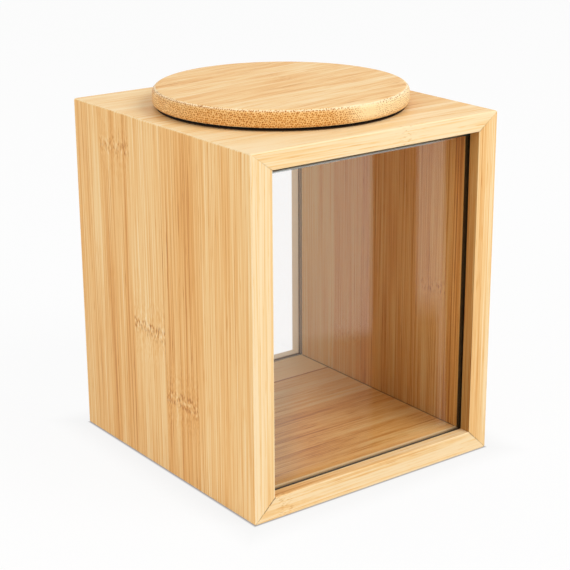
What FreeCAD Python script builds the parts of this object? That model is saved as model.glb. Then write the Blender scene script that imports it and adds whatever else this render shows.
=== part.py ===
import FreeCAD, Part
import math
import os

import Sketcher

# Storage jar: a mitred bamboo box with a glass pane front and back, and a round plug lid
# Millimetres, +Z up, front pane towards -Y, origin on the floor under the middle of the box

# Driving dimensions
SIZES = {
    "box_width": 130.0,
    "box_depth": 136.0,
    "box_height": 157.0,
    "side_board": 10.5,
    "base_board": 10.0,
    "top_board": 8.0,
    "edge_round": 1.0,
    "window_round": 0.5,
    "lip_depth": 5.5,
    "groove_depth": 4.0,
    "pane_thickness": 3.0,
    "pane_face_gap": 0.75,
    "pane_end_gap": 0.5,
    "pane_top_gap": 2.3,
    "pane_seam": 0.3,
    "mouth_margin": 5.5,
    "mouth_chamfer": 0.8,
    "lid_overlap": 7.0,
    "lid_board": 7.5,
    "lid_gap": 1.5,
    "lid_top_round": 2.5,
    "lid_bottom_chamfer": 1.0,
    "plug_mouth_gap": 2.0,
    "plug_height": 8.0,
    "plug_chamfer": 0.5,
    "seal_groove_depth": 2.0,
    "seal_shoulder": 1.6,
    "seal_neck_gap": 0.15,
    "seal_end_gap": 0.1,
    "seal_sleeve": 1.6,
    "seal_bore_gap": 0.2,
    "seal_seat_gap": 0.2,
    "seal_flange_width": 5.5,
}

# Counts and shares
SEAL_LIPS = 2
# Where each lip of the seal starts and ends on the sleeve, and its tip, as shares of the lips' spacing
lip_root_shares = (0.4, 0.9)
lip_tip_shares = (0.6, 0.8)
# The rims of the front and back faces are eased less than the long corners they run into
rim_round_share = 0.75
# How far in from the outer faces a 45 degree mitre meets the rounded corner, as a share of its radius
mitre_inset_share = 1 - math.sqrt(0.5)

# Lengths worked out from the driving dimensions, as expressions
half_width = "Sizes.box_width / 2"
half_depth = "Sizes.box_depth / 2"
inner_half_width = "(Sizes.box_width / 2 - Sizes.side_board)"
ceiling = "(Sizes.box_height - Sizes.top_board)"
mitre_inset = f"Sizes.edge_round * {mitre_inset_share}"
mitre_half_width = f"({half_width} - {mitre_inset})"
round_half_width = f"({half_width} - Sizes.edge_round)"
groove_width = "(Sizes.pane_thickness + 2 * Sizes.pane_face_gap)"
groove_front = f"({half_depth} - Sizes.lip_depth)"
groove_back = f"({groove_front} - {groove_width})"
pane_bottom = "(Sizes.base_board - Sizes.groove_depth)"
pane_half_width = f"({inner_half_width} + Sizes.groove_depth - Sizes.pane_end_gap)"
pane_centre = f"({groove_front} - {groove_width} / 2)"
mouth_radius = f"(min({inner_half_width}; {groove_back}) - Sizes.mouth_margin)"
lid_underside = "(Sizes.box_height + Sizes.lid_gap)"
plug_radius = f"({mouth_radius} - Sizes.plug_mouth_gap)"
neck_radius = f"({plug_radius} - Sizes.seal_groove_depth)"
neck_bottom = "(Sizes.seal_shoulder - Sizes.plug_height)"

doc = FreeCAD.newDocument("storage_jar")


def make_sheet():
    sheet = doc.addObject("Spreadsheet::Sheet", "Sizes")
    for row, (alias, value) in enumerate(SIZES.items(), start=1):
        sheet.set(f"A{row}", alias)
        sheet.set(f"B{row}", str(value))
        sheet.setAlias(f"B{row}", alias)
    doc.recompute()
    return sheet


sheet = make_sheet()


def size_of(expression):
    """The value of an expression of sheet cells."""
    return float(sheet.evalExpression(expression))


def make_body(label):
    body = doc.addObject("PartDesign::Body", label)
    body.Label = label
    return body


def make_sketch(body, name, plane_role):
    """A sketch on one of the body's own origin planes."""
    sketch = body.newObject("Sketcher::SketchObject", f"{body.Label}_{name}")
    plane = next(item for item in body.Origin.OriginFeatures if item.Role == plane_role)
    sketch.AttachmentSupport = [(plane, "")]
    sketch.MapMode = "FlatFace"
    return sketch


def bind(sketch, kind, *rest, expression):
    """A dimension of the sketch that follows an expression."""
    index = sketch.addConstraint(Sketcher.Constraint(kind, *rest, size_of(expression)))
    sketch.setExpression(f"Constraints[{index}]", expression)


def draw_outline(sketch, corners, arcs=None):
    """A closed outline through corners, each a pair of expressions.

    arcs maps the number of a corner to the centre and radius of the arc that leaves it;
    every other corner is left by a straight line.
    """
    arcs = arcs or {}
    points = [FreeCAD.Vector(size_of(x), size_of(y), 0) for x, y in corners]
    ends = []
    for number, start in enumerate(points):
        finish = points[(number + 1) % len(points)]
        if number in arcs:
            ends.append(add_arc(sketch, start, finish, *arcs[number]))
        else:
            line = sketch.addGeometry(Part.LineSegment(start, finish), False)
            ends.append((line, 1, 2))
    for number, (item, _, last) in enumerate(ends):
        following, first, _ = ends[(number + 1) % len(ends)]
        sketch.addConstraint(Sketcher.Constraint("Coincident", item, last, following, first))
    for (item, first, _), (x, y) in zip(ends, corners):
        bind(sketch, "DistanceX", -1, 1, item, first, expression=x)
        bind(sketch, "DistanceY", -1, 1, item, first, expression=y)


def add_arc(sketch, start, finish, centre, radius):
    """An arc of under half a turn, and which of its ends the outline enters and leaves by."""
    middle = FreeCAD.Vector(size_of(centre[0]), size_of(centre[1]), 0)
    angles = [math.atan2(point.y - middle.y, point.x - middle.x) for point in (start, finish)]
    sweep = (angles[1] - angles[0]) % math.tau
    forward = sweep < math.pi
    if not forward:
        angles.reverse()
    circle = Part.Circle(middle, FreeCAD.Vector(0, 0, 1), size_of(radius))
    arc = sketch.addGeometry(Part.ArcOfCircle(circle, *angles), False)
    bind(sketch, "Radius", arc, expression=radius)
    return (arc, 1, 2) if forward else (arc, 2, 1)


def draw_rectangle(sketch, left, right, low, high):
    draw_outline(sketch, [(left, low), (right, low), (right, high), (left, high)])


def pad_both_ways(body, sketch, length):
    pad = body.newObject("PartDesign::Pad", f"{body.Label}_pad")
    pad.Profile = sketch
    pad.SideType = "Symmetric"
    pad.setExpression("Length", length)
    doc.recompute()
    return pad


def pocket_both_ways(body, sketch, name):
    """A cut right through the body, both ways from the sketch, which has to remove something."""
    before = body.Shape.Volume
    pocket = body.newObject("PartDesign::Pocket", f"{body.Label}_{name}")
    pocket.Profile = sketch
    pocket.Type = "ThroughAll"
    pocket.SideType = "Symmetric"
    doc.recompute()
    if not 0 < body.Shape.Volume < before:
        raise RuntimeError(f"{pocket.Label} cuts nothing")
    return pocket


def revolve(body, sketch):
    """The sketch turned about the upright axis."""
    turned = body.newObject("PartDesign::Revolution", f"{body.Label}_turned")
    turned.Profile = sketch
    turned.ReferenceAxis = (sketch, ["V_Axis"])
    turned.Angle = 360
    doc.recompute()
    return turned


def edges_through(body, points):
    """The names of the body's edges that pass through the points, each three expressions."""
    names = []
    for point in points:
        vertex = Part.Vertex(*[size_of(value) for value in point])
        edges = body.Shape.Edges
        nearest = min(range(len(edges)), key=lambda number: edges[number].distToShape(vertex)[0])
        names.append(f"Edge{nearest + 1}")
    return names


def dress(body, kind, name, size, points):
    """A fillet or chamfer of the edges that pass through the points."""
    base = (body.Tip, edges_through(body, points))
    feature = body.newObject(f"PartDesign::{kind}", f"{body.Label}_{name}")
    feature.Base = base
    feature.setExpression("Radius" if kind == "Fillet" else "Size", size)
    doc.recompute()
    return feature


# Boards of the box: each is a mitred length with a pane groove near its front and back edge

def make_board(label, corners, arcs, outer, inner, groove_plane, groove_sides):
    """A board with its ends mitred, its edges eased and a groove for each pane.

    outer and inner are the x and z of the middle of its outer and inner face.
    """
    body = make_body(label)
    profile = make_sketch(body, "profile", "XZ_Plane")
    draw_outline(profile, corners, arcs)
    pad_both_ways(body, profile, "Sizes.box_depth")
    grooves = make_sketch(body, "groove_lines", groove_plane)
    for low, high in ((f"-{groove_front}", f"-{groove_back}"), (groove_back, groove_front)):
        if groove_plane == "XY_Plane":
            draw_rectangle(grooves, *groove_sides, low, high)
        else:
            draw_rectangle(grooves, low, high, *groove_sides)
    pocket_both_ways(body, grooves, "grooves")
    depths = (f"-{half_depth}", half_depth)
    rim_round = f"Sizes.edge_round * {rim_round_share}"
    dress(body, "Fillet", "outer_edges", rim_round, [(outer[0], y, outer[1]) for y in depths])
    dress(body, "Fillet", "window_edges", "Sizes.window_round", [(inner[0], y, inner[1]) for y in depths])
    return body


def make_side_panel(label, side):
    """The left or right board, side being -1 or 1."""
    top_inset = f"(Sizes.box_height - {mitre_inset})"
    top_round = "(Sizes.box_height - Sizes.edge_round)"
    corners = [
        (f"{side} * {mitre_half_width}", mitre_inset),
        (f"{side} * {inner_half_width}", "Sizes.base_board"),
        (f"{side} * {inner_half_width}", ceiling),
        (f"{side} * {mitre_half_width}", top_inset),
        (f"{side} * {half_width}", top_round),
        (f"{side} * {half_width}", "Sizes.edge_round"),
    ]
    centre = f"{side} * {round_half_width}"
    arcs = {
        3: ((centre, top_round), "Sizes.edge_round"),
        5: ((centre, "Sizes.edge_round"), "Sizes.edge_round"),
    }
    middle = "Sizes.box_height / 2"
    outer = (f"{side} * {half_width}", middle)
    inner = (f"{side} * {inner_half_width}", middle)
    groove_sides = sorted(
        (f"{side} * {inner_half_width}", f"{side} * ({inner_half_width} + Sizes.groove_depth)"), key=size_of
    )
    return make_board(label, corners, arcs, outer, inner, "XY_Plane", groove_sides)


def make_level_panel(label, outside, inside, inset, rounding, groove_floor):
    """The top or base board, from the heights of its faces, mitre tips, corner centres and groove floor."""
    corners = [
        (f"-{mitre_half_width}", inset),
        (f"-{inner_half_width}", inside),
        (inner_half_width, inside),
        (mitre_half_width, inset),
        (round_half_width, outside),
        (f"-{round_half_width}", outside),
    ]
    arcs = {
        3: ((round_half_width, rounding), "Sizes.edge_round"),
        5: ((f"-{round_half_width}", rounding), "Sizes.edge_round"),
    }
    groove_sides = sorted((inside, groove_floor), key=size_of)
    return make_board(label, corners, arcs, ("0", outside), ("0", inside), "YZ_Plane", groove_sides)


def make_base_panel():
    return make_level_panel(
        "base_panel", "0", "Sizes.base_board", mitre_inset, "Sizes.edge_round", pane_bottom
    )


def make_top_panel():
    """The top board, with the round mouth and its eased rims."""
    body = make_level_panel(
        "top_panel",
        "Sizes.box_height",
        ceiling,
        f"(Sizes.box_height - {mitre_inset})",
        "(Sizes.box_height - Sizes.edge_round)",
        f"({ceiling} + Sizes.groove_depth)",
    )
    mouth = make_sketch(body, "mouth_line", "XY_Plane")
    mouth.setExpression("AttachmentOffset.Base.z", "Sizes.box_height")
    circle = Part.Circle(FreeCAD.Vector(0, 0, 0), FreeCAD.Vector(0, 0, 1), size_of(mouth_radius))
    ring = mouth.addGeometry(circle, False)
    mouth.addConstraint(Sketcher.Constraint("Coincident", ring, 3, -1, 1))
    bind(mouth, "Radius", ring, expression=mouth_radius)
    pocket_both_ways(body, mouth, "mouth")
    rims = [(mouth_radius, "0", "Sizes.box_height"), (mouth_radius, "0", ceiling)]
    dress(body, "Chamfer", "mouth_rims", "Sizes.mouth_chamfer", rims)
    return body


# Glass: a cut sheet with seamed edges, standing on the floor of the base board's groove

def make_pane(label, side):
    """The front or back pane, side being -1 or 1."""
    body = make_body(label)
    sheet_outline = make_sketch(body, "outline", "XZ_Plane")
    top = f"({ceiling} - Sizes.pane_top_gap)"
    draw_rectangle(sheet_outline, f"-{pane_half_width}", pane_half_width, pane_bottom, top)
    pad_both_ways(body, sheet_outline, "Sizes.pane_thickness")
    base = (body.Tip, [""])
    seams = body.newObject("PartDesign::Chamfer", f"{label}_seams")
    seams.Base = base
    seams.UseAllEdges = True
    seams.setExpression("Size", "Sizes.pane_seam")
    body.setExpression("Placement.Base.y", f"{side} * {pane_centre}")
    doc.recompute()
    return body


# Lid: a turned board, the plug glued under it and the seal stretched round the plug
# Their profiles are drawn from the middle outwards, with the lid's underside at height zero

def make_lid_piece(label, corners, arcs=None):
    body = make_body(label)
    profile = make_sketch(body, "profile", "XZ_Plane")
    draw_outline(profile, corners, arcs)
    revolve(body, profile)
    body.setExpression("Placement.Base.z", lid_underside)
    doc.recompute()
    return body


def make_lid_disc():
    edge = f"({mouth_radius} + Sizes.lid_overlap)"
    top_inner = f"({edge} - Sizes.lid_top_round)"
    top_shoulder = "(Sizes.lid_board - Sizes.lid_top_round)"
    corners = [
        ("0", "0"),
        (f"({edge} - Sizes.lid_bottom_chamfer)", "0"),
        (edge, "Sizes.lid_bottom_chamfer"),
        (edge, top_shoulder),
        (top_inner, "Sizes.lid_board"),
        ("0", "Sizes.lid_board"),
    ]
    arcs = {3: ((top_inner, top_shoulder), "Sizes.lid_top_round")}
    return make_lid_piece("lid_disc", corners, arcs)


def make_lid_plug():
    """A disc with a neck for the seal and a shoulder below that keeps the seal on."""
    foot = "-Sizes.plug_height"
    corners = [
        ("0", "0"),
        (neck_radius, "0"),
        (neck_radius, neck_bottom),
        (plug_radius, neck_bottom),
        (plug_radius, f"({foot} + Sizes.plug_chamfer)"),
        (f"({plug_radius} - Sizes.plug_chamfer)", foot),
        ("0", foot),
    ]
    return make_lid_piece("lid_plug", corners)


def make_lid_seal():
    """A sleeve round the plug's neck, with a flange under the lid and lips that meet the mouth."""
    inside = f"({neck_radius} + Sizes.seal_neck_gap)"
    sleeve = f"({inside} + Sizes.seal_sleeve)"
    reach = f"({mouth_radius} - Sizes.seal_bore_gap)"
    flange = f"({mouth_radius} + Sizes.seal_flange_width)"
    flange_under = "(Sizes.seal_seat_gap - Sizes.lid_gap)"
    bottom = f"({neck_bottom} + Sizes.seal_end_gap)"
    pitch = f"({flange_under} - {bottom}) / {SEAL_LIPS}"
    corners = [(inside, "0"), (flange, "0"), (flange, flange_under), (sleeve, flange_under)]
    for number in range(SEAL_LIPS):
        root_top, root_bottom, tip_top, tip_bottom = [
            f"({flange_under} - {number + share} * {pitch})" for share in lip_root_shares + lip_tip_shares
        ]
        corners += [(sleeve, root_top), (reach, tip_top), (reach, tip_bottom), (sleeve, root_bottom)]
    corners += [(sleeve, bottom), (inside, bottom)]
    return make_lid_piece("lid_seal", corners)


def check_and_write(bodies):
    """Every object has to be sound, and every piece one closed solid, before anything is written."""
    doc.recompute()
    for item in doc.Objects:
        if "Invalid" in item.State or "Error" in item.State:
            raise RuntimeError(f"{item.Label} failed: {item.State}")
    for body in bodies:
        shape = body.Shape
        if shape.isNull() or not shape.isValid() or len(shape.Solids) != 1:
            raise RuntimeError(f"{body.Label} has no valid solid")
    os.makedirs("parts", exist_ok=True)
    for body in bodies:
        body.Shape.exportStep(f"parts/{body.Label}.step")
        print(body.Label, round(body.Shape.Volume))


check_and_write([
    make_side_panel("left_panel", -1),
    make_side_panel("right_panel", 1),
    make_base_panel(),
    make_top_panel(),
    make_pane("front_pane", -1),
    make_pane("back_pane", 1),
    make_lid_disc(),
    make_lid_plug(),
    make_lid_seal(),
])
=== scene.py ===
import math

import bpy
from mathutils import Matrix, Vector


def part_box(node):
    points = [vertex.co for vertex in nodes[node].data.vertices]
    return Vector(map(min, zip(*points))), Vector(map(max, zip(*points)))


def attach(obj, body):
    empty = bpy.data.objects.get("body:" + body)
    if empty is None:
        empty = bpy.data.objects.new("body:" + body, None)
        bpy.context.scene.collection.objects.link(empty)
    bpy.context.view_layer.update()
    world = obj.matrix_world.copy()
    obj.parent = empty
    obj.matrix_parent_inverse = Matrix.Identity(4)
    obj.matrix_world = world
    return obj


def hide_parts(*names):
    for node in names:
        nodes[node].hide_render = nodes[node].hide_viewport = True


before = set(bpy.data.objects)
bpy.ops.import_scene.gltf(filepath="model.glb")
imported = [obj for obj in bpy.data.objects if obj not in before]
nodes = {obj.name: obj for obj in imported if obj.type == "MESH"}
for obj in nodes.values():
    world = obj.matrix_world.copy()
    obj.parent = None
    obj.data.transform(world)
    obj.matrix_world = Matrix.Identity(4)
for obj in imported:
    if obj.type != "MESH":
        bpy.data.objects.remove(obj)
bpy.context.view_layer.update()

# Lengths are in millimetres, but for the lamps', and MM turns them into Blender's metres
MM = 0.001


def node_box(name):
    """A node's lowest and highest corners at rest, in millimetres."""
    return [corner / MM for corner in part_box(name)]


# Places read from the frame, but for the gap beside a pane. The grooves' start and end are distances from
# the plane midway between the panes
BOX_HALF_WIDTH = -node_box("left_panel")[0].x
BOX_HALF_DEPTH = -node_box("left_panel")[0].y
INNER_HALF_WIDTH = -node_box("left_panel")[1].x
FLOOR_LEVEL = node_box("base_panel")[1].z
CEILING, BOX_TOP = (corner.z for corner in node_box("top_panel"))
PANE_FRONT, PANE_BACK = (corner.y for corner in node_box("front_pane"))
PANE_TOP = node_box("front_pane")[1].z
PANE_FACE_GAP = 0.75
GROOVE_START = -PANE_BACK - PANE_FACE_GAP
GROOVE_END = -PANE_FRONT + PANE_FACE_GAP
LID_LOW, LID_HIGH = node_box("lid_disc")
MIDDLE_HEIGHT = BOX_TOP / 2


# Shader graphs, one call per node

class Graph:
    def __init__(self, tree):
        self.nodes, self.links = tree.nodes, tree.links
        self.nodes.clear()

    def feed(self, socket, value):
        if isinstance(value, bpy.types.NodeSocket):
            self.links.new(value, socket)
        elif value is not None:
            socket.default_value = value

    def add(self, kind, inputs=None, **settings):
        node = self.nodes.new("ShaderNode" + kind)
        for name, value in settings.items():
            setattr(node, name, value)
        for key, value in (inputs or {}).items():
            self.feed(node.inputs[key], value)
        return node

    def math(self, operation, *values, clamp=False):
        node = self.add("Math", dict(enumerate(values)), operation=operation, use_clamp=clamp)
        return node.outputs[0]

    def total(self, result, *values):
        for value in values:
            result = self.math("ADD", result, value)
        return result

    def times(self, result, *values):
        for value in values:
            result = self.math("MULTIPLY", result, value)
        return result

    def minus(self, value, other):
        return self.math("SUBTRACT", value, other)

    def distance(self, value, other=0.0):
        return self.math("ABSOLUTE", self.minus(value, other))

    def linear(self, value, slope, start):
        return self.math("MULTIPLY_ADD", value, slope, start)

    def centred(self, value, factor):
        """A noise's swing about its mean of a half, times factor."""
        return self.linear(value, factor, -0.5 * factor)

    def hypotenuse(self, a, b):
        return self.math("SQRT", self.total(self.times(a, a), self.times(b, b)))

    def smooth(self, value, low, high):
        """0 where value is at low, 1 where it is at high, eased between them. low may be above high."""
        inputs = {"Value": value, "From Min": low, "From Max": high}
        return self.add("MapRange", inputs, interpolation_type="SMOOTHSTEP").outputs[0]

    def smooth_at(self, value, place, offsets):
        """0 at the first offset from a place, 1 at the second."""
        return self.smooth(value, place + offsets[0], place + offsets[1])

    def join(self, x, y, z):
        return self.add("CombineXYZ", {0: x, 1: y, 2: z}).outputs[0]

    def split(self, vector):
        return list(self.add("SeparateXYZ", {0: vector}).outputs)

    def turned(self, vector, angle):
        inputs = {"Vector": vector, "Angle": angle}
        return self.add("VectorRotate", inputs, rotation_type="Z_AXIS").outputs[0]

    def millimetres(self, vector):
        return self.add("VectorMath", {0: vector, "Scale": 1 / MM}, operation="SCALE").outputs[0]

    def noise(self, vector, detail=2.0, roughness=0.5, scale=1.0):
        inputs = {"Vector": vector, "Scale": scale, "Detail": detail, "Roughness": roughness}
        return self.add("TexNoise", inputs).outputs[0]

    def ramp(self, value, stops, interpolation="LINEAR"):
        node = self.add("ValToRGB", {0: value})
        node.color_ramp.interpolation = interpolation
        elements = node.color_ramp.elements
        while len(elements) > 1:
            elements.remove(elements[0])
        elements[0].position = stops[0][0]
        elements[0].color = (*stops[0][1], 1)
        for position, colour in stops[1:]:
            elements.new(position).color = (*colour, 1)
        return node.outputs[0]

    def mix(self, factor, a, b, blend="MIX"):
        node = self.add("Mix", data_type="RGBA", blend_type=blend)
        for index, value in ((0, factor), (6, a), (7, b)):
            if isinstance(value, tuple) and len(value) == 3:
                value = (*value, 1)
            self.feed(node.inputs[index], value)
        return node.outputs[2]

    def tinted(self, colour, tint):
        return self.mix(1.0, colour, tint, "MULTIPLY")

    def blended(self, factor, shader, other):
        return self.add("MixShader", {0: factor, 1: shader, 2: other}).outputs[0]


def new_material(name):
    material = bpy.data.materials.new(name)
    material.use_nodes = True
    return material, Graph(material.node_tree)


def finish_material(g, shader):
    g.add("OutputMaterial", {"Surface": shader})


# Bamboo: strips side by side, each with its own tone, fibres along the grain, joints and knots

# From the darkest tone, at level 0, to the palest, at level 1
HONEY = (
    (0.00, (0.44, 0.160, 0.034)),
    (0.20, (0.62, 0.275, 0.070)),
    (0.40, (0.765, 0.400, 0.124)),
    (0.55, (0.825, 0.488, 0.188)),
    (0.75, (0.875, 0.600, 0.285)),
    (1.00, (0.91, 0.700, 0.420)),
)
KNOT_FLECK = (0.38, 0.14, 0.03)
MITRE_DARK = (0.13, 0.042, 0.008)

# Axes across the strips, along the grain and through the board
UPRIGHT = (1, 2, 0)
LEVEL = (1, 0, 2)

# The strips' edges are stops on a ramp of this length, and a joint shows where they change within its width
STRIP_SPAN = 140.0
JOINT_HALF_WIDTH = 0.15
# Each strip's key is a step on from the last, and moves its grain along the board. Nearly the same keys are
# one strip's
KEY_STEP = 0.382
KEY_SAME = 0.002
KEY_SHIFT = 90.0
SEED_SHIFT = 57.0
# How much of a normal lies along an axis, where a face starts to count as facing that way and where it does
FACING = (0.5, 0.9)

# Fibre layers: width across the grain, length along it, noise detail, roughness and offset
FINE_FIBRES = (0.60, 75.0, 1.5, 0.5, 0.0)
MIDDLING_FIBRES = (1.6, 110.0, 2.0, 0.5, 7.0)
BROAD_FIBRES = (5.0, 180.0, 2.0, 0.5, 13.0)
DARK_STREAKS = (1.1, 120.0, 1.0, 0.5, 21.0)
SHORT_MARKS = (1.7, 11.0, 2.0, 0.6, 31.0)
SHORT_THREADS = (0.6, 14.0, 1.0, 0.5, 43.0)
LIGHT_STREAKS = (0.7, 110.0, 1.0, 0.5, 61.0)
KNOT_BRUSHING = (0.50, 2.6, 1.5, 0.55, 90.0)
# Fibres longer than this are made shorter by a low crispness
LONG_FIBRE = 20.0

# What each layer adds to the level: noise swings both ways about its mean, and the rest goes one way
FINE_SWING = 0.80
CRISP_SWING = 0.42
MIDDLING_SWING = 0.14
BROAD_SWING = 0.46
STREAK_SHADE = -0.09
THREAD_SHADE = -0.07
BOLD_THREAD_SHADE = -0.13
LIGHT_GAIN = 0.18
JOINT_SHADE = -0.16
# Painted highlight on the rounded edges, where they catch the lamps
EDGE_HIGHLIGHT_GAIN = 0.22
GOLDEN_SHADE = -0.14

# The front faces of the side boards are more golden this near to the window
GOLDEN_START, GOLDEN_END = 62.5, 57.0
# The top board has painted shade inside this ring round the lid
LID_SHADE_START, LID_SHADE_END = 64.0, 56.0

# A knot's brushed core and the halo round it, from where they start along the grain to where they are full
KNOT_CORE = (4.6, 1.8)
KNOT_HALO = (24.0, 2.0)
KNOT_SIDE_FADE = (0.15, -0.15)
KNOT_WOBBLE = 8.0
KNOT_WOBBLE_SCALE = 0.30
KNOT_CORE_SWING = 1.5
KNOT_HALO_SWING = 0.8
KNOT_CORE_SHADE = -0.05
KNOT_HALO_SHADE = -0.03
FLECK_STRENGTH = 0.8
FLECK_DEPTH = 0.06
FIBRE_DEPTH = 0.006
STAIN_SIDE_FADE = (1.2, -0.8)
STAIN_END_SHARES = (1.5, 0.4)
STAIN_WOBBLE = 30.0


class Board:
    """What the layers of one bamboo board's material share.

    axes are the numbers of the axes across the strips, along the grain and through the board.
    strips are (lowest place across, tone) from low to high.
    """

    def __init__(self, name, axes, strips, seed, crisp, turn):
        self.material, self.g = new_material(name)
        self.axes, self.strips, self.seed, self.crisp = axes, strips, seed, crisp
        g = self.g
        coordinates = g.add("TexCoord").outputs
        place = g.millimetres(coordinates["Object"])
        normal = coordinates["Normal"]
        self.x, self.y, self.z = self.place = g.split(place)
        if turn:
            place = g.turned(place, -turn)
            normal = g.turned(normal, -turn)
        self.turned = g.split(place)
        self.outward = g.split(normal)
        self.facing = [g.distance(part) for part in self.outward]
        self.across, self.along, self.through = (self.turned[axis] for axis in axes)
        self.tone, key = self.strip_at(-JOINT_HALF_WIDTH)
        other_key = self.strip_at(JOINT_HALF_WIDTH)[1]
        self.joint = g.math("GREATER_THAN", g.distance(key, other_key), KEY_SAME)
        self.shift = g.linear(key, KEY_SHIFT, seed * SEED_SHIFT)
        self.front = self.faces(1)

    def faces(self, axis):
        return self.g.smooth(self.facing[axis], *FACING)

    def strip_at(self, aside):
        """The tone of the strip this far to the side, and a key that differs from strip to strip."""
        stops = []
        for number, (low, tone) in enumerate(self.strips):
            key = (number * KEY_STEP + self.seed) % 1
            stops.append((max(0.0, low / STRIP_SPAN + 0.5), (tone, key, 0.5)))
        share = self.g.linear(self.across, 1 / STRIP_SPAN, 0.5 + aside / STRIP_SPAN)
        strip = self.g.add("SeparateColor", {0: self.g.ramp(share, stops, "CONSTANT")}).outputs
        return strip[0], strip[1]

    def fibres(self, layer):
        """Noise drawn out along the grain."""
        width, length, detail, roughness, offset = layer
        if length > LONG_FIBRE:
            length *= self.crisp
        x = self.g.linear(self.across, 1 / width, offset)
        y = self.g.linear(self.along, 1 / length, self.shift)
        z = self.g.linear(self.through, 1 / width, self.shift)
        return self.g.noise(self.g.join(x, y, z), detail, roughness)


def grain_level(board, fine, middling, bold, light_drift, short, ring, pale):
    """How pale the bamboo is, from its strips, fibres and joints, with a painted highlight on its rounded
    edges, paler faces that are partly painted light, painted light along the grain and painted shade round
    the lid.
    """
    g = board.g
    broad = board.fibres(BROAD_FIBRES)
    streak = g.smooth(board.fibres(DARK_STREAKS), 0.60, 0.74)
    thread = g.smooth(board.fibres(SHORT_THREADS), 0.62, 0.76)
    light = g.smooth(board.fibres(LIGHT_STREAKS), 0.60, 0.76)
    squareness = g.math("MAXIMUM", g.math("MAXIMUM", board.facing[0], board.facing[1]), board.facing[2])
    front_pale_and_lit, top_painted_light = pale
    layers = [
        board.tone,
        g.centred(fine, FINE_SWING + CRISP_SWING * board.crisp),
        g.centred(middling, MIDDLING_SWING * bold),
        g.centred(broad, BROAD_SWING * bold),
        # painted light that grows along the grain, kept off the front and back faces
        g.times(board.along, light_drift, g.minus(1.0, board.front)),
        g.times(streak, STREAK_SHADE),
        g.times(thread, THREAD_SHADE + BOLD_THREAD_SHADE * bold),
        g.times(light, LIGHT_GAIN),
        g.times(board.joint, JOINT_SHADE),
        # painted highlight along the rounded edges
        g.times(g.smooth(squareness, 0.97, 0.84), EDGE_HIGHLIGHT_GAIN),
        # front and back faces paler, partly as the cut edges' own tone and partly as painted light
        g.times(board.front, front_pale_and_lit),
        # level faces paler, as painted light from above
        g.times(board.faces(2), top_painted_light),
    ]
    if board.axes == UPRIGHT:
        golden = g.smooth(g.distance(board.x), GOLDEN_START, GOLDEN_END)
        layers.append(g.times(board.front, golden, GOLDEN_SHADE))
    # painted shade round the lid, where its shadow falls on the top board
    if ring:
        layers.append(g.times(g.smooth(g.hypotenuse(board.x, board.y), LID_SHADE_START, LID_SHADE_END), -ring))
    if short:
        layers.append(g.centred(board.fibres(SHORT_MARKS), short))
    return g.total(*layers)


def stained(board, level, middling, stains):
    """stains are (centre across, half width, centre along, half length, strength)."""
    g = board.g
    for centre, half, at, reach, strength in stains:
        side = g.smooth_at(g.distance(board.across, centre), half, STAIN_SIDE_FADE)
        away = g.distance(g.total(board.along, g.centred(middling, STAIN_WOBBLE)), at)
        spread = g.times(side, g.smooth(away, *(reach * share for share in STAIN_END_SHARES)))
        level = g.minus(level, g.times(spread, strength))
    return level


def knotted(board, level, knots):
    """The level with the knots' brushed marks, and how much of a dark fleck is at each place.

    knots are (centre across, half width, place along the grain, strength).
    """
    g = board.g
    brushed = board.fibres(KNOT_BRUSHING)
    scatter = g.join(
        g.times(board.across, KNOT_WOBBLE_SCALE), board.shift, g.times(board.through, KNOT_WOBBLE_SCALE)
    )
    wobble = g.centred(g.noise(scatter), KNOT_WOBBLE)
    core = halo = 0.0
    for centre, half, at, strength in knots:
        within = g.times(g.smooth_at(g.distance(board.across, centre), half, KNOT_SIDE_FADE), strength)
        away = g.distance(g.total(board.along, wobble), at)
        core = g.math("MAXIMUM", core, g.times(g.smooth(away, *KNOT_CORE), within))
        halo = g.math("MAXIMUM", halo, g.times(g.smooth(away, *KNOT_HALO), within))
    fleck = g.times(g.smooth(brushed, 0.45, 0.31), core)
    level = g.total(
        level,
        g.times(g.centred(brushed, KNOT_HALO_SWING), halo),
        g.times(g.centred(brushed, KNOT_CORE_SWING), core),
        g.times(halo, KNOT_HALO_SHADE),
        g.times(core, KNOT_CORE_SHADE),
    )
    return level, fleck


# The faces that look into the box, and the panes' grooves, with painted shade and painted light on them

INSIDE_SHADE_TINT = (0.93, 0.88, 0.72)
SHADE_PATCH = (0.29, 0.30, 0.18)
CORNER_DARK = (0.10, 0.04, 0.012)
FRONT_LIP_SHADE = (0.72, 0.66, 0.58)
BACK_LIP_LIGHT = (0.96, 0.84, 0.64)
GROOVE_SHADE = (0.048, 0.026, 0.008)
OPEN_GROOVE_SHADE = (0.06, 0.075, 0.072)
OPEN_GROOVE_LIT = (0.66, 0.40, 0.19)
FAR_SIDE_SHADE = (0.30, 0.18, 0.09)
FAR_SIDE_LIGHT = (0.97, 0.84, 0.62)
BRINK_HIGHLIGHT = (0.92, 0.70, 0.40)

# How far a change of tint at a groove's outer edge is eased, going outwards
OUTWARDS = (-0.3, 0.3)
INWARDS = (0.3, -0.3)
# Below the inner faces: where they end, where a groove starts to be dark, and its bed
INNER_FACE_ENDS = (1.0, 0.5)
GROOVE_MOUTH = (0.05, 0.5)
GROOVE_BED = (6.0, 5.0)
# From a groove's near and far edges, where its painted shade starts and stops
GROOVE_NEAR_EDGE = (-0.3, -0.1)
GROOVE_FAR_EDGE = (0.3, 0.1)
# The front groove's lit upper part, and the back groove's far side with its painted shade and painted light,
# below the inner faces
LIT_DEPTHS = (1.5, 0.7)
FAR_SIDE_DEPTHS = (0.7, 1.1)
FAR_SIDE_START = (0.6, 0.9)
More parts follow.
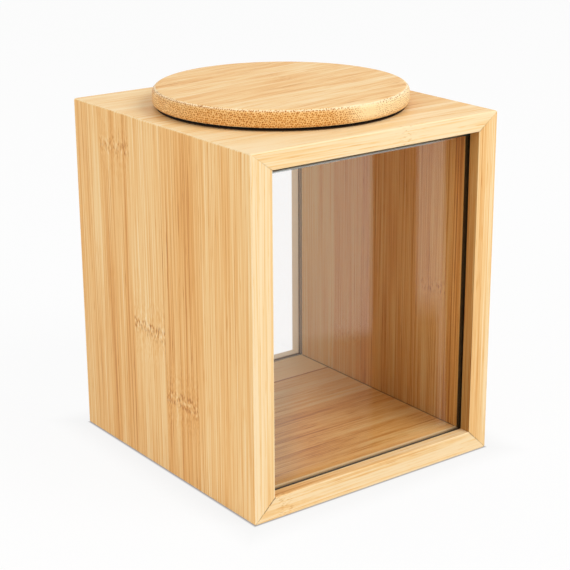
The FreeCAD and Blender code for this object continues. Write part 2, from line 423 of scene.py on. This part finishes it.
# The painted highlight along the front groove's near edge, its brink
BRINK_DEPTHS = (0.6, 0.3)
BRINK_START = (-0.9, -0.6)
BRINK_END = (0.4, 0.1)
# Either side of the middle plane, which parts the front groove from the back one
MIDDLE_PLANE = (1.0, 0.0)
# Where the painted inside shade is darkened further towards the front and the floor
SHADY_HEIGHTS = (75.0, 12.0)
SHADY_DEPTHS = (6.0, -10.0)
# The painted shade patch on the floor, along a slanted line and from back to front
SHADE_PATCH_SLANT_SHARE = -0.75
SHADE_PATCH_SIDE = (14.0, -4.0)
SHADE_PATCH_DEPTHS = (40.0, 18.0)
CORNER_WIDTH = 1.3
REACH_EASE = 1.0
# How strong the floor's painted shade patch, its corner line, the painted light on the back lip and the
# painted highlight on the brink are
FACE_STRENGTHS = {"shade_patch": 0.28, "corner": 0.9, "back lip": 0.85, "brink_highlight": 0.9}


def with_inside(board, colour, strength, surface, reach, open_groove=0.0, shady=0.0):
    """The colour with painted shade on the box's inner faces and front lip, painted light on the back lip,
    and the grooves on it.

    surface is the inner face's distance from the box's middle, reach how far in y the painted shade goes,
    open_groove how light the front groove is, and shady how much more painted shade the face gets at its
    lower front.
    """
    g = board.g
    middle = 0.0 if board.axes == UPRIGHT else MIDDLE_HEIGHT
    depth = g.minus(g.distance(board.place[board.axes[2]], middle), surface)
    aside = g.distance(board.y)
    inner = g.times(g.smooth(depth, *INNER_FACE_ENDS), board.faces(board.axes[2]))
    kept = g.smooth_at(board.y, GROOVE_END, INWARDS)
    inner_face = g.times(inner, kept, g.smooth(aside, reach + REACH_EASE, reach))
    # painted shade on the faces inside the box
    inside_shade = g.tinted(colour, INSIDE_SHADE_TINT)
    if shady:
        # more painted shade low down towards the face's front
        low = g.times(g.smooth(board.z, *SHADY_HEIGHTS), g.smooth(board.y, *SHADY_DEPTHS))
        inside_shade = g.mix(g.times(low, shady), inside_shade, (0, 0, 0))
    colour = g.mix(g.times(inner_face, strength), colour, inside_shade)
    if open_groove:
        colour = floor_marks(board, colour, inner_face)
    # painted shade on the front lip's inner faces, recessed beside the pane
    front_lip_shade = g.smooth_at(board.y, -GROOVE_END, INWARDS)
    colour = g.mix(g.times(inner_face, front_lip_shade), colour, g.tinted(colour, FRONT_LIP_SHADE))
    # painted light on the back lip's inner faces
    lit_back_lip = g.times(inner, g.smooth_at(board.y, GROOVE_END, OUTWARDS))
    colour = g.mix(g.times(lit_back_lip, FACE_STRENGTHS["back lip"]), colour, BACK_LIP_LIGHT)
    return with_grooves(board, colour, depth, aside, open_groove)


def floor_marks(board, colour, inner_face):
    """The colour with the floor's painted shade patch and the dark line in its corners."""
    g = board.g
    slanted = g.linear(board.y, SHADE_PATCH_SLANT_SHARE, board.x)
    # painted shade, a slanted patch on the floor's left
    shade_patch = g.times(g.smooth(slanted, *SHADE_PATCH_SIDE), inner_face, g.smooth(board.y, *SHADE_PATCH_DEPTHS))
    colour = g.mix(g.times(shade_patch, FACE_STRENGTHS["shade_patch"]), colour, SHADE_PATCH)
    corner = g.smooth(g.distance(board.x), INNER_HALF_WIDTH - CORNER_WIDTH, INNER_HALF_WIDTH)
    return g.mix(g.times(corner, inner_face, FACE_STRENGTHS["corner"]), colour, CORNER_DARK)


def with_grooves(board, colour, depth, aside, open_groove):
    """The colour with painted shade in the grooves, painted light on the back groove's far side and a
    painted highlight along the front groove's brink.

    depth is how far a place lies into the board from its inner face, and aside how far from the middle in y.
    """
    g = board.g
    groove = g.times(
        g.smooth(depth, *GROOVE_MOUTH),
        g.smooth(depth, *GROOVE_BED),
        g.smooth_at(aside, GROOVE_START, GROOVE_NEAR_EDGE),
        g.smooth_at(aside, GROOVE_END, GROOVE_FAR_EDGE),
    )
    lit = g.times(g.smooth(board.y, *MIDDLE_PLANE), open_groove, g.smooth(depth, *LIT_DEPTHS))
    # painted shade in the grooves, lighter in the front groove's lit upper part
    painted_groove = g.mix(lit, g.mix(open_groove, GROOVE_SHADE, OPEN_GROOVE_SHADE), OPEN_GROOVE_LIT)
    # painted shade near the back groove's mouth and painted light deeper in on its far side
    far_side = g.mix(g.smooth(depth, *FAR_SIDE_DEPTHS), FAR_SIDE_SHADE, FAR_SIDE_LIGHT)
    painted_groove = g.mix(g.smooth_at(board.y, GROOVE_START, FAR_SIDE_START), painted_groove, far_side)
    colour = g.mix(groove, colour, painted_groove)
    # painted highlight along the front groove's brink
    brink_highlight = g.times(
        g.smooth(depth, *BRINK_DEPTHS),
        g.smooth_at(aside, GROOVE_START, BRINK_START),
        g.smooth_at(aside, GROOVE_START, BRINK_END),
        open_groove,
    )
    return g.mix(g.times(brink_highlight, FACE_STRENGTHS["brink_highlight"]), colour, BRINK_HIGHLIGHT)


# The glue lines of the mitres, which get wider inwards and come and go

MITRE_OUTER_HALF_WIDTH = 0.26
MITRE_GROWTH = 0.22
MITRE_CORE_HALF_WIDTH = 0.08
MITRE_BREAKS_SCALE = 0.7
MITRE_SEED = 31.0


def with_mitre_lines(board, colour, seams):
    """seams are (x, z, dx, dz, outer, inner): the outer corner, the way in, and how dark each end is."""
    g = board.g
    for x, z, dx, dz, outer, inner in seams:
        length = math.hypot(dx, dz)
        off = g.linear(board.x, dz / length, (z * dx - x * dz) / length)
        off = g.distance(g.linear(board.z, -dx / length, off))
        run = g.math("MULTIPLY_ADD", board.x, 1 / dx, -x / dx, clamp=True)
        breaks = [g.times(part, MITRE_BREAKS_SCALE) for part in (board.x, board.z)]
        uneven = g.noise(g.join(*breaks, board.seed * MITRE_SEED))
        edge = g.linear(run, MITRE_GROWTH, MITRE_OUTER_HALF_WIDTH)
        line = g.times(
            g.smooth(off, edge, MITRE_CORE_HALF_WIDTH),
            g.smooth(uneven, 0.25, 0.55),
            g.linear(run, inner - outer, outer),
            g.smooth(board.facing[1], 0.4, 0.8),
        )
        colour = g.mix(line, colour, MITRE_DARK)
    return colour


# The lid's rim: cut ends of the fibre bundles, as small dots in a paler net

DOT_ROW_HEIGHT = 0.84
DOT_COLUMN_WIDTH = 0.95
DOT_WARP = 1.6
# Past this way round the rim the dots are wider apart
DOTS_STRETCH_START = 4.0
DOTS_STRETCH_SHARE = 0.25
# Up from the lid's underside, where the rim has painted shade
RIM_SHADE_HEIGHTS = (3.0, 0.8)
DOT_DEPTH = 0.05
RIM_PALE = (0.95, 0.76, 0.43)
RIM_SHADED_SIDE = (0.72, 0.355, 0.085)
RIM_FAR_LIGHT = (0.92, 0.62, 0.28)
RIM_LOW_SHADE = (0.66, 0.29, 0.05)
RIM_PATCH = (0.68, 0.31, 0.06)
RIM_GRIT = (0.62, 0.28, 0.06)
RIM_NET = (0.96, 0.68, 0.32)
RIM_CROWN_HIGHLIGHT = (0.97, 0.82, 0.56)
RIM_DOT = (0.34, 0.11, 0.016)


def bundle_spots(board, way):
    """How far a place on the rim is from the nearest bundle's middle, in shares of the bundles' spacing."""
    g = board.g
    warp = g.noise(g.join(g.times(way, 0.4), g.times(board.z, 0.4), 3.0))
    warp = g.times(warp, DOT_WARP)
    rows = g.total(g.times(board.z, 1 / DOT_ROW_HEIGHT), warp)
    row = g.math("FLOOR", rows)
    columns = g.total(g.times(way, 1 / DOT_COLUMN_WIDTH), warp, g.times(g.math("MODULO", row, 2.0), 0.5))
    column = g.math("FLOOR", columns)
    cell = g.join(column, row, 0.0)
    luck = g.split(g.add("TexWhiteNoise", {"Vector": cell}, noise_dimensions="2D").outputs["Color"])
    aside = g.total(g.minus(columns, column), g.times(luck[0], -0.50), -0.25)
    above = g.total(g.minus(rows, row), g.times(luck[1], -0.50), -0.25)
    return g.math("DIVIDE", g.hypotenuse(aside, above), g.linear(luck[2], 0.45, 0.75))


def with_end_grain(board, colour, height):
    """The colour and relief with the rim's end grain, plainest where the rim cuts across the fibres, with
    painted shade on its left side and low down, painted light on its far side and a painted highlight on its
    top round.
    """
    g = board.g
    out_x, out_y = board.outward[:2]
    up = board.facing[2]
    angle = g.math("ARCTAN2", board.turned[0], g.times(board.turned[1], -1.0))
    way = g.times(angle, LID_HIGH.x)
    past = g.math("MAXIMUM", g.minus(way, DOTS_STRETCH_START), 0.0)
    way = g.minus(way, g.times(past, DOTS_STRETCH_SHARE))
    spot = bundle_spots(board, way)
    dot = g.smooth(spot, 0.34, 0.20)
    net = g.smooth(spot, 0.36, 0.60)
    ends = g.smooth(g.distance(out_x, -0.065), 0.02, 0.14)
    # painted shade on the rim's left side, away from the key lamp, with stronger dots and patches there
    shaded_side = g.smooth(out_x, -0.08, -0.42)
    patch = g.smooth(g.noise(g.join(g.times(way, 0.10), g.times(board.z, 0.16), 8.0)), 0.40, 0.72)
    grit = g.smooth(g.noise(g.join(g.times(way, 1.3), g.times(board.z, 1.3), 5.0), 1.0), 0.35, 0.75)
    # painted shade on the rim's lower round
    low = g.smooth_at(board.z, LID_LOW.z, RIM_SHADE_HEIGHTS)
    # painted highlight on the rim's top round
    crown_highlight = g.times(g.smooth(up, 0.45, 0.90), g.linear(net, 0.35, 0.40))
    share = g.times(g.linear(ends, 0.50, 0.12), g.linear(shaded_side, 0.15, 0.85), 1.45)
    ground = g.mix(shaded_side, RIM_PALE, RIM_SHADED_SIDE)
    for factor, tint in (
        # painted light on the rim's far side
        (g.times(g.smooth(out_y, -0.15, 0.25), 0.6), RIM_FAR_LIGHT),
        (g.times(low, 0.45), RIM_LOW_SHADE),
        (g.times(patch, g.linear(shaded_side, 0.9, 0.1)), RIM_PATCH),
        (g.times(grit, 0.2), RIM_GRIT),
        (g.times(net, 0.45), RIM_NET),
        (crown_highlight, RIM_CROWN_HIGHLIGHT),
        (g.times(dot, share), RIM_DOT),
    ):
        ground = g.mix(factor, ground, tint)
    side = g.smooth(up, 0.97, 0.86)
    height = g.minus(height, g.times(dot, side, DOT_DEPTH))
    return g.mix(side, colour, ground), height


def bamboo(
    name, axes, strips, knots=(), stains=(), seams=(), seed=0.0, pale=(0.0, 0.0), bold=1.0, crisp=1.0,
    light_drift=0.0, ring=0.0, short=0.0, inside=None, turn=0.0, rim=False,
):
    """A bamboo board's material.

    pale is how much paler the front and back faces are, partly their own cut-edge tone and partly painted
    light, and how much paler the level ones are as painted light. bold is how strong the broad fibres are,
    light_drift how much painted light it gains per millimetre along the grain, ring how much painted shade
    it gets round the lid, and short how strong its short marks are. inside holds the values that with_inside
    takes, turn is the grain's angle about the upright axis, and rim asks for the lid's end grain.
    """
    board = Board(name, axes, strips, seed, crisp, turn)
    g = board.g
    fine = board.fibres(FINE_FIBRES)
    middling = board.fibres(MIDDLING_FIBRES)
    level = grain_level(board, fine, middling, bold, light_drift, short, ring, pale)
    level = stained(board, level, middling, stains)
    height = g.times(fine, FIBRE_DEPTH)
    if knots:
        level, fleck = knotted(board, level, knots)
        colour = g.mix(g.times(fleck, FLECK_STRENGTH), g.ramp(level, HONEY), KNOT_FLECK)
        height = g.minus(height, g.times(fleck, FLECK_DEPTH))
    else:
        colour = g.ramp(level, HONEY)
    if inside:
        colour = with_inside(board, colour, **inside)
    colour = with_mitre_lines(board, colour, seams)
    if rim:
        colour, height = with_end_grain(board, colour, height)
    bump = g.add("Bump", {"Strength": 0.55, "Distance": MM, "Height": height}).outputs[0]
    gloss = g.linear(fine, 0.16, 0.42)
    shader = g.add("BsdfPrincipled", {"Base Color": colour, "Roughness": gloss, "Normal": bump})
    shader.inputs["Specular IOR Level"].default_value = 0.22
    finish_material(g, shader.outputs[0])
    return board.material


# Glass, clear on its faces and ground at its edges, with painted light on the front pane's top edge and
# arris

GROUND_DARK = (0.03, 0.07, 0.065)
GROUND_GREEN = (0.09, 0.16, 0.15)
GROUND_BACK = (0.50, 0.42, 0.33)
CREST_LIGHT = (0.80, 0.90, 0.94)
ARRIS_LIGHT = (0.50, 0.58, 0.60, 1)
CLEAR = (1, 1, 1, 1)
SEEN_THROUGH = (0.965, 0.965, 0.96, 1)
GLASS_INDEX = 1.5
# From the pane's front face backwards, from its top edge downwards, and across the panes in x
FRONT_FACE_DEPTHS = (1.1, 0.6)
ARRIS_DROPS = (-0.95, -0.55)
UPPER_HALF = (0.0, 1.0)
ARRIS_FADE = (50.0, 25.0)
CREST_FADE = (45.0, -10.0)


def glass():
    material, g = new_material("pane_glass")
    path = g.add("LightPath").outputs
    coordinates = g.add("TexCoord").outputs
    place = g.millimetres(coordinates["Object"])
    x, y, z = g.split(place)
    edge = g.smooth(g.distance(g.split(coordinates["Normal"])[1]), 0.9, 0.6)
    front = g.smooth_at(y, PANE_FRONT, FRONT_FACE_DEPTHS)

    clear = g.add("BsdfPrincipled", {"Base Color": CLEAR, "Roughness": 0.0, "IOR": GLASS_INDEX})
    clear.inputs["Transmission Weight"].default_value = 1.0
    tint = g.mix(g.noise(place, 3.0, 0.6, 2.2), GROUND_DARK, GROUND_GREEN)
    in_front = g.smooth(y, *MIDDLE_PLANE)
    tint = g.mix(g.minus(1.0, in_front), tint, GROUND_BACK)
    # painted light on the front pane's top edge
    crest_light = g.times(g.smooth_at(z, MIDDLE_HEIGHT, UPPER_HALF), in_front, front, g.smooth(x, *CREST_FADE))
    tint = g.mix(crest_light, tint, CREST_LIGHT)
    ground = g.add("BsdfPrincipled", {"Base Color": tint, "Roughness": 0.35, "IOR": GLASS_INDEX})
    body = g.blended(edge, clear.outputs[0], ground.outputs[0])

    # painted light, a pale blue-grey line on the front pane's top arris under the rail
    lit_arris = g.times(g.smooth_at(z, PANE_TOP, ARRIS_DROPS), front, g.smooth(x, *ARRIS_FADE))
    body = g.blended(g.times(lit_arris, 0.8), body, g.add("BsdfDiffuse", {0: ARRIS_LIGHT}).outputs[0])

    soft_ray = g.math("MAXIMUM", path["Is Shadow Ray"], path["Is Diffuse Ray"])
    soft_ray = g.times(soft_ray, g.minus(1.0, edge))
    open_glass = g.add("BsdfTransparent", {0: SEEN_THROUGH})
    finish_material(g, g.blended(soft_ray, body, open_glass.outputs[0]))
    return material


# Silicone, matte and nearly black, with a painted warm reflection of the top board at its foot, where it
# meets the board

# A dark seal, made nearly black so that it also stands in for the deep shade in the gap under the lid
SILICONE_DARK = (0.003, 0.0029, 0.0028)
SILICONE_PALE = (0.006, 0.0057, 0.0055)
SILICONE_FOOT_REFLECTION = (0.10, 0.05, 0.02)
FOOT_RISES = (0.55, 0.25)


def silicone():
    material, g = new_material("seal_silicone")
    place = g.add("TexCoord").outputs["Object"]
    mottle = g.noise(place, 3.0, 0.6, 260.0)
    colour = g.mix(mottle, SILICONE_DARK, SILICONE_PALE)
    # painted reflection of the top board at the seal's foot
    foot = g.smooth(g.split(place)[2], *((BOX_TOP + rise) * MM for rise in FOOT_RISES))
    colour = g.mix(foot, colour, SILICONE_FOOT_REFLECTION)
    grain = g.noise(place, 2.0, 0.5, 1900.0)
    bump = g.add("Bump", {"Strength": 0.25, "Distance": MM, "Height": g.times(grain, 0.05)}).outputs[0]
    gloss = g.linear(mottle, 0.2, 0.55)
    shader = g.add("BsdfPrincipled", {"Base Color": colour, "Roughness": gloss, "Normal": bump})
    shader.inputs["Specular IOR Level"].default_value = 0.06
    finish_material(g, shader.outputs[0])
    return material


# The lid's board, turned with true rounds

LID_BOTTOM_ROUND = 1.3
LID_TOP_ROUND = 2.5
# The flat faces have a ring of vertices this far in from the rounds, which keeps their shading flat
FLAT_RING_INSET = 0.3
RIM_STEPS = 288
ROUND_STEPS = 10


def turned_board(name, profile):
    """A closed turned shape from a profile of (radius, height) in millimetres, from axis to axis."""
    vertices = [(0, 0, profile[0][1] * MM), (0, 0, profile[-1][1] * MM)]
    rings = profile[1:-1]
    for radius, height in rings:
        for step in range(RIM_STEPS):
            angle = step * math.tau / RIM_STEPS
            vertices.append((radius * MM * math.cos(angle), radius * MM * math.sin(angle), height * MM))
    faces = []
    for step in range(RIM_STEPS):
        following = (step + 1) % RIM_STEPS
        faces.append((0, 2 + following, 2 + step))
        for ring in range(len(rings) - 1):
            low, high = 2 + ring * RIM_STEPS, 2 + (ring + 1) * RIM_STEPS
            faces.append((low + step, low + following, high + following, high + step))
        last = 2 + (len(rings) - 1) * RIM_STEPS
        faces.append((last + step, last + following, 1))
    mesh = bpy.data.meshes.new(name)
    mesh.from_pydata(vertices, [], faces)
    mesh.polygons.foreach_set("use_smooth", [True] * len(faces))
    mesh.update()
    board = bpy.data.objects.new(name, mesh)
    bpy.context.scene.collection.objects.link(board)
    return board


def rounded_profile(radius, bottom, top, bottom_round, top_round):
    """From the middle of the underside out round the rim to the middle of the top."""
    points = [(0, bottom), (radius * 0.5, bottom), (radius - bottom_round - FLAT_RING_INSET, bottom)]
    quarter = [step / ROUND_STEPS * math.pi / 2 for step in range(ROUND_STEPS + 1)]
    for angle in quarter:
        inward, rise = 1 - math.sin(angle), 1 - math.cos(angle)
        points.append((radius - bottom_round * inward, bottom + bottom_round * rise))
    for share in (0.33, 0.67):
        points.append((radius, bottom + bottom_round + share * (top - top_round - bottom - bottom_round)))
    for angle in quarter:
        inward, drop = 1 - math.cos(angle), 1 - math.sin(angle)
        points.append((radius - top_round * inward, top - top_round * drop))
    points += [(radius - top_round - FLAT_RING_INSET, top), (radius * 0.5, top), (0, top)]
    return points


lid_profile = rounded_profile(LID_HIGH.x, LID_LOW.z, LID_HIGH.z, LID_BOTTOM_ROUND, LID_TOP_ROUND)
lid_board = turned_board("lid_board", lid_profile)
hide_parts("lid_disc")
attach(lid_board, "lid")


# Materials of the boards

# How far in y the inner faces carry painted shade: the whole way, or up to the back pane
WHOLE_REACH = 70.0
PANE_REACH = 61.0

side_board = BOX_HALF_WIDTH - INNER_HALF_WIDTH
bottom_seams = [
    (-BOX_HALF_WIDTH, 0.0, side_board, FLOOR_LEVEL, 0.35, 1.0),
    (BOX_HALF_WIDTH, 0.0, -side_board, FLOOR_LEVEL, 0.30, 0.55),
]
top_seams = [
    (-BOX_HALF_WIDTH, BOX_TOP, side_board, CEILING - BOX_TOP, 0.05, 0.28),
    (BOX_HALF_WIDTH, BOX_TOP, -side_board, CEILING - BOX_TOP, 0.05, 0.35),
]

materials = {
    "left_panel": bamboo(
        "bamboo_left", UPRIGHT,
        [(-70, 0.64), (-57.8, 0.58), (-28.2, 0.46), (-3.0, 0.64), (22.0, 0.51), (46.2, 0.56)],
        knots=[(34.1, 12.1, 141.5, 0.65), (9.5, 12.5, 63.5, 1.0), (-15.6, 12.6, 37.0, 1.0)],
        stains=[(-22.5, 4.5, 108.0, 30.0, 0.07), (33.0, 11.0, 60.0, 60.0, 0.04)],
        seams=[bottom_seams[0], top_seams[0]], seed=0.11, pale=(0.30, 0.0),
        inside={"strength": 0.9, "surface": INNER_HALF_WIDTH, "reach": WHOLE_REACH},
    ),
    "right_panel": bamboo(
        "bamboo_right", UPRIGHT,
        [
            (-70, 0.46), (-61.0, 0.16), (-52.5, 0.33), (-48.2, 0.50), (-31.5, 0.46), (-19.2, 0.49),
            (-5.0, 0.47), (10.5, 0.60), (31.5, 0.80),
        ],
        knots=[(-39.8, 8.2, 73.0, 0.45), (21.0, 10.4, 31.0, 0.35)],
        stains=[(-12.5, 2.0, 86.0, 20.0, 0.16)],
        seams=[bottom_seams[1], top_seams[1]], seed=0.47, pale=(0.24, 0.0),
        inside={"strength": 1.0, "surface": INNER_HALF_WIDTH, "reach": WHOLE_REACH, "shady": 0.20},
    ),
    "base_panel": bamboo(
        "bamboo_base", LEVEL,
        [
            (-70, 0.68), (-61.0, 0.45), (-50.0, 0.46), (-25.0, 0.40), (0.0, 0.58), (18.0, 0.66),
            (34.7, -0.10), (35.7, 0.95), (58, 0.5),
        ],
        knots=[(-69.0, 3.0, -49.0, 0.40), (-37.0, 11.0, -6.0, 0.16)],
        stains=[(-37.5, 7.0, -6.0, 12.0, 0.07)],
        seams=bottom_seams, seed=0.73, pale=(0.20, 0.0), bold=1.8, crisp=0.7, light_drift=0.0026, short=0.40,
        inside={
            "strength": 0.8, "surface": MIDDLE_HEIGHT - FLOOR_LEVEL, "reach": PANE_REACH, "open_groove": 1.0,
        },
    ),
    "top_panel": bamboo(
        "bamboo_top", LEVEL,
        [
            (-70, 0.72), (-60, 0.70), (-52, 0.56), (-46, 0.66), (-42.5, 0.53), (-22, 0.48), (2.0, 0.42),
            (26, 0.45), (50, 0.43),
        ],
        knots=[(-69.0, 3.0, 14.0, 0.32)],
        seams=top_seams, seed=0.29, pale=(0.18, 0.22), bold=1.6, crisp=0.5, light_drift=-0.0022, ring=0.08,
        inside={"strength": 0.8, "surface": CEILING - MIDDLE_HEIGHT, "reach": WHOLE_REACH},
    ),
    "lid_plug": bamboo(
        "bamboo_plug", LEVEL, [(-70, 0.5), (-30, 0.44), (-5, 0.54), (20, 0.48), (45, 0.5)], seed=0.61,
    ),
    "front_pane": glass(),
    "lid_seal": silicone(),
}
materials["back_pane"] = materials["front_pane"]
for name, material in materials.items():
    nodes[name].data.materials.clear()
    nodes[name].data.materials.append(material)

lid_board.data.materials.append(bamboo(
    "bamboo_lid", LEVEL,
    [(-70, 0.62), (-40, 0.69), (-16, 0.61), (8, 0.67), (30, 0.56), (45, 0.62)],
    knots=[(36.0, 8.0, -34.0, 0.3), (10.0, 9.0, 10.0, 0.25), (-42.0, 8.0, 36.0, 0.3)],
    stains=[(12.0, 8.0, 12.0, 14.0, 0.12), (-38.0, 6.0, 38.0, 12.0, 0.10)],
    turn=math.radians(8), rim=True, seed=0.83, bold=1.8, crisp=0.3,
))


# Studio: a pale floor, an even sky and soft lamps

FLOOR_HALF = 3000.0
PAPER_DARK = (0.80, 0.80, 0.80)
PAPER_PALE = (0.82, 0.82, 0.82)
FOOT_SHADE = (0.05, 0.04, 0.03)
CONTACT_SHADE = (0.10, 0.07, 0.065)
# How far from the box's foot the floor's painted soft shade and its painted contact shadow reach
FOOT_SHADE_FADE = (18.0, -2.0)
CONTACT_FADE = (1.0, -0.5)
SKY_LOW = (0.56, 0.565, 0.57)
SKY_HIGH = (0.66, 0.66, 0.655)
WHITE = (1, 1, 1)
# Lamps are placed and sized in metres
LAMP_AIM = (0, 0, 0.08)


def plane(name, corners):
    mesh = bpy.data.meshes.new(name)
    mesh.from_pydata([tuple(v * MM for v in corner) for corner in corners], [], [tuple(range(len(corners)))])
    mesh.update()
    thing = bpy.data.objects.new(name, mesh)
    bpy.context.scene.collection.objects.link(thing)
    return thing


def seen_directly(g):
    path = g.add("LightPath").outputs
    seen = g.math("MAXIMUM", path["Is Camera Ray"], path["Is Transmission Ray"])
    return g.math("MAXIMUM", seen, path["Is Glossy Ray"])


def paper():
    """White where it is seen, with painted soft shade and a painted contact shadow round the box's foot, and
    plain diffuse paper for the light.
    """
    material, g = new_material("studio_floor")
    place = g.add("TexCoord").outputs["Object"]
    lit = g.add("BsdfDiffuse", {0: g.mix(g.noise(place, 3.0, 0.5, 40.0), PAPER_DARK, PAPER_PALE)})
    x, y = g.split(place)[:2]
    beside = g.linear(g.distance(x), 1 / MM, -BOX_HALF_WIDTH)
    before = g.linear(g.distance(y), 1 / MM, -BOX_HALF_DEPTH)
    away = g.math("MAXIMUM", beside, before)
    # painted soft shade round the box's foot
    foot_shade = g.mix(g.times(g.smooth(away, *FOOT_SHADE_FADE), 0.07), WHITE, FOOT_SHADE)
    # painted contact shadow where the box stands
    contact = g.mix(g.times(g.smooth(away, *CONTACT_FADE), 0.72), foot_shade, CONTACT_SHADE)
    white = g.add("Emission", {0: contact, 1: 1.0})
    finish_material(g, g.blended(g.times(seen_directly(g), 0.92), lit.outputs[0], white.outputs[0]))
    return material


def add_sky():
    world = bpy.data.worlds.new("studio")
    world.use_nodes = True
    g = Graph(world.node_tree)
    upward = g.split(g.add("TexCoord").outputs["Generated"])[2]
    soft = g.mix(g.smooth(upward, -0.1, 0.9), SKY_LOW, SKY_HIGH)
    sky = g.mix(seen_directly(g), soft, WHITE)
    g.add("OutputWorld", {"Surface": g.add("Background", {0: sky, 1: 1.0}).outputs[0]})
    bpy.context.scene.world = world


def lamp(name, place, size, watts):
    """A round soft lamp that looks at the middle of the box."""
    light = bpy.data.lights.new(name, "AREA")
    light.shape = "DISK"
    light.size = size
    light.energy = watts
    thing = bpy.data.objects.new(name, light)
    thing.location = place
    thing.rotation_euler = (Vector(LAMP_AIM) - Vector(place)).to_track_quat("-Z", "Y").to_euler()
    bpy.context.scene.collection.objects.link(thing)


floor = plane("studio_floor", [
    (-FLOOR_HALF, -FLOOR_HALF, 0), (FLOOR_HALF, -FLOOR_HALF, 0),
    (FLOOR_HALF, FLOOR_HALF, 0), (-FLOOR_HALF, FLOOR_HALF, 0),
])
floor.data.materials.append(paper())
add_sky()
lamp("key_lamp", (0.62, -1.15, 1.25), 1.0, 15.7)
lamp("left_lamp", (-1.7, -0.35, 0.7), 1.1, 10.0)


# Dark flags on the floor to the right, which only mirrors show. Their near edge is tucked under the box

FLAG_DARK = (0.02, 0.02, 0.02, 1)
FLAG_NEAR = -(BOX_HALF_DEPTH - 2.0)
FLAG_FAR = -900.0
FAR_FLAG_HEIGHT = 1.0
NEAR_FLAG_HEIGHT = 2.0
# Where the far flags' shared edges cross their near and far ends, from left to right
BAND_EDGES = ((6.4, 703.0), (33.5, 771.0), (50.0, 812.0), (75.0, 880.0))


def flag(name, height, corners, fades=(), dense=1.0):
    """fades are (x, y, x, y): nothing is held back at the first point and all from the second on."""
    sheet = plane(name, [(x, y, height) for x, y in corners])
    material, g = new_material(name)
    x, y = g.split(g.millimetres(g.add("TexCoord").outputs["Object"]))[:2]
    for x0, y0, x1, y1 in fades:
        square = (x1 - x0) ** 2 + (y1 - y0) ** 2
        start = -(x0 * (x1 - x0) + y0 * (y1 - y0)) / square
        run = g.linear(x, (x1 - x0) / square, g.linear(y, (y1 - y0) / square, start))
        dense = g.times(dense, g.smooth(run, 0.0, 1.0))
    mirrored = g.math("GREATER_THAN", g.add("LightPath").outputs["Glossy Depth"], 0.5)
    dark = g.add("BsdfDiffuse", {0: FLAG_DARK})
    clear = g.add("BsdfTransparent", {0: CLEAR})
    finish_material(g, g.blended(g.times(mirrored, dense), clear.outputs[0], dark.outputs[0]))
    sheet.data.materials.append(material)
    for ray in ("camera", "diffuse", "volume_scatter", "shadow"):
        setattr(sheet, "visible_" + ray, False)


for name, number, dense in (("flag_middle", 0, 1.0), ("flag_right", 2, 1.0), ("flag_between", 1, 0.25)):
    (near_left, far_left), (near_right, far_right) = BAND_EDGES[number:number + 2]
    corners = [
        (near_left, FLAG_NEAR), (far_left, FLAG_FAR), (far_right, FLAG_FAR), (near_right, FLAG_NEAR),
    ]
    flag(name, FAR_FLAG_HEIGHT, corners, dense=dense)
flag(
    "flag_near_left", NEAR_FLAG_HEIGHT,
    [(-60, FLAG_NEAR), (8.5, FLAG_NEAR), (137, -217), (84, -217), (60, -226)],
    [(15, -162, 58, -128), (107, -217, 98, -193)], 0.78,
)
flag(
    "flag_near_right", NEAR_FLAG_HEIGHT,
    [(33.5, FLAG_NEAR), (50, FLAG_NEAR), (224, -256), (182, -234)],
    [(200, -240, 150, -185), (101.8, -121.5, 97.9, -125.0)], 0.95,
)


# Camera, at the photograph's viewing angle

FRAME_PIXELS = 570
FOCAL_PIXELS = 1542.4
SENSOR = 36.0
AIM_HEIGHT = 78.0
CAMERA_DISTANCE = 698.95
CAMERA_ASIDE = 1.291
CAMERA_DROP = 4.169

azimuth, elevation, roll = (math.radians(angle) for angle in (-36.633, 18.416, -0.338))
backward = Vector((
    math.sin(azimuth) * math.cos(elevation), -math.cos(azimuth) * math.cos(elevation), math.sin(elevation)
))
sideways = (-backward).cross(Vector((0, 0, 1))).normalized()
upright = sideways.cross(-backward)
camera_right = sideways * math.cos(roll) + upright * math.sin(roll)
camera_up = upright * math.cos(roll) - sideways * math.sin(roll)
camera_data = bpy.data.cameras.new("camera")
camera_data.sensor_width = SENSOR
camera_data.lens = FOCAL_PIXELS * SENSOR / FRAME_PIXELS
camera = bpy.data.objects.new("camera", camera_data)
aim = Vector((0, 0, AIM_HEIGHT))
spot = (aim + backward * CAMERA_DISTANCE + sideways * CAMERA_ASIDE - upright * CAMERA_DROP) * MM
matrix = camera.matrix_world.copy()
for row in range(3):
    matrix[row][0], matrix[row][1], matrix[row][2] = camera_right[row], camera_up[row], backward[row]
    matrix[row][3] = spot[row]
camera.matrix_world = matrix
bpy.context.scene.collection.objects.link(camera)
bpy.context.scene.camera = camera
bpy.context.scene.view_settings.view_transform = "Standard"
